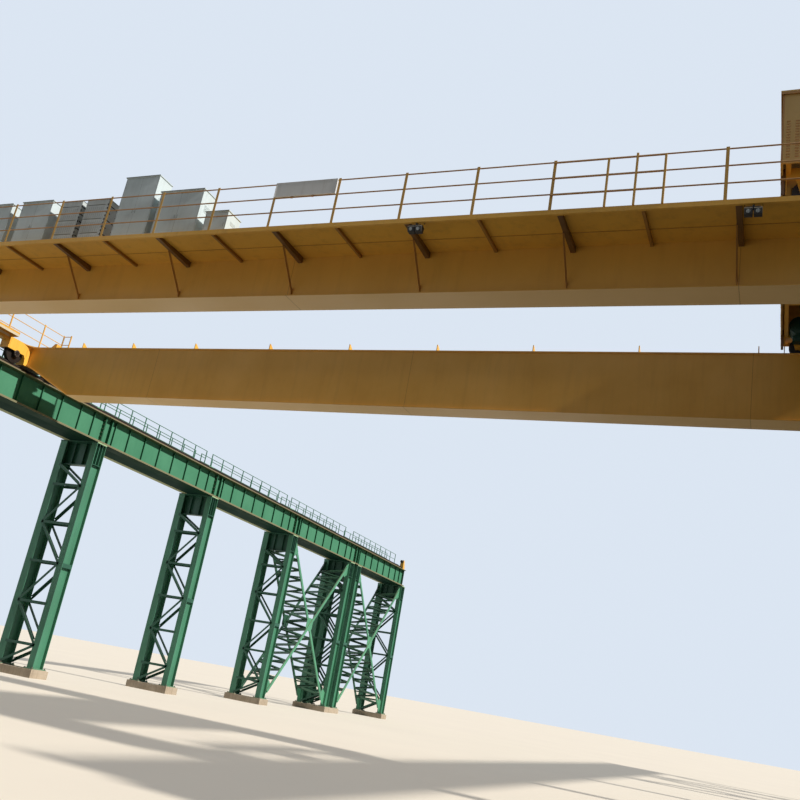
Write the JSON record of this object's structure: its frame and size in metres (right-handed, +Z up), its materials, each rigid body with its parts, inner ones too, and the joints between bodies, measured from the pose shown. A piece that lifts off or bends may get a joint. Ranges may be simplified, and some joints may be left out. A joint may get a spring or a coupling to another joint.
{
  "type": "1:2 scale model of an outdoor gantry crane: a bridge crane on a raised runway",
  "caption": "Double-girder travelling crane with walkway and trolley, on a raised steel runway of laced columns with plate girders and railings.",
  "frame": {"origin": "middle of the runway's footprint, on the ground under the plinths", "axes": "+Z up, +Y along the runway away from the end where the bridge stands, +X across the span to the right when looking along +Y"},
  "size_m": [17.595, 25.95, 6.9106],
  "materials": {
    "concrete": "matte",
    "runway_green": "satin",
    "crane_yellow": "satin",
    "rail_steel": "worn",
    "wheel_iron": "matte",
    "buffer_rubber": "matte",
    "lamp_black": "satin",
    "board_white": "satin",
    "cabinet_grey": "satin",
    "drive_green": "satin",
    "rope_steel": "worn",
    "hook_iron": "matte"
  },
  "bodies": {
    "runway": {"plinths": "concrete", "column_legs": "runway_green", "left_lacing": "runway_green", "right_lacing": "runway_green", "column_heads": "runway_green", "leg_stiffeners": "runway_green", "runway_beams": "runway_green", "runway_rails": "rail_steel", "walkway_beams": "runway_green", "walkway_decks": "runway_green", "inner_railings": "runway_green", "outer_railings": "runway_green", "column_upstands": "runway_green", "bay_braces": "runway_green", "brace_battens": "runway_green", "brace_gussets": "runway_green", "end_stops": "crane_yellow", "end_buffers": "buffer_rubber"},
    "bridge": {"near_girder": "crane_yellow", "far_girder": "crane_yellow", "end_carriages": "crane_yellow", "bridge_wheels": "wheel_iron", "wheel_housings": "wheel_iron", "end_platforms": "crane_yellow", "end_railings": "crane_yellow", "travel_drives": "drive_green", "near_walkway": "crane_yellow", "near_railing": "crane_yellow", "far_walkway": "crane_yellow", "far_railing": "crane_yellow", "gate_rails": "crane_yellow", "sign_board": "board_white", "floodlights": "lamp_black", "control_cabinets": "cabinet_grey", "resistor_boxes": "cabinet_grey", "trolley_rails": "rail_steel", "trolley_stops": "crane_yellow", "cable_brackets": "crane_yellow"},
    "trolley": {"trolley_frame": "crane_yellow", "trolley_wheels": "wheel_iron", "trolley_brackets": "crane_yellow", "machine_house": "crane_yellow", "hoist_drum": "drive_green", "trolley_drives": "drive_green", "hoist_ropes": "rope_steel", "hook_block": "crane_yellow", "hook": "hook_iron"}
  },
  "joints": [
    {"name": "bridge_travel", "type": "slide", "parent": "runway", "child": "bridge", "axis": [0, 1, 0], "range_m": [-1.68, 18.28]},
    {"name": "trolley_travel", "type": "slide", "parent": "bridge", "child": "trolley", "axis": [1, 0, 0], "range_m": [-12.42, 0.5]}
  ]
}
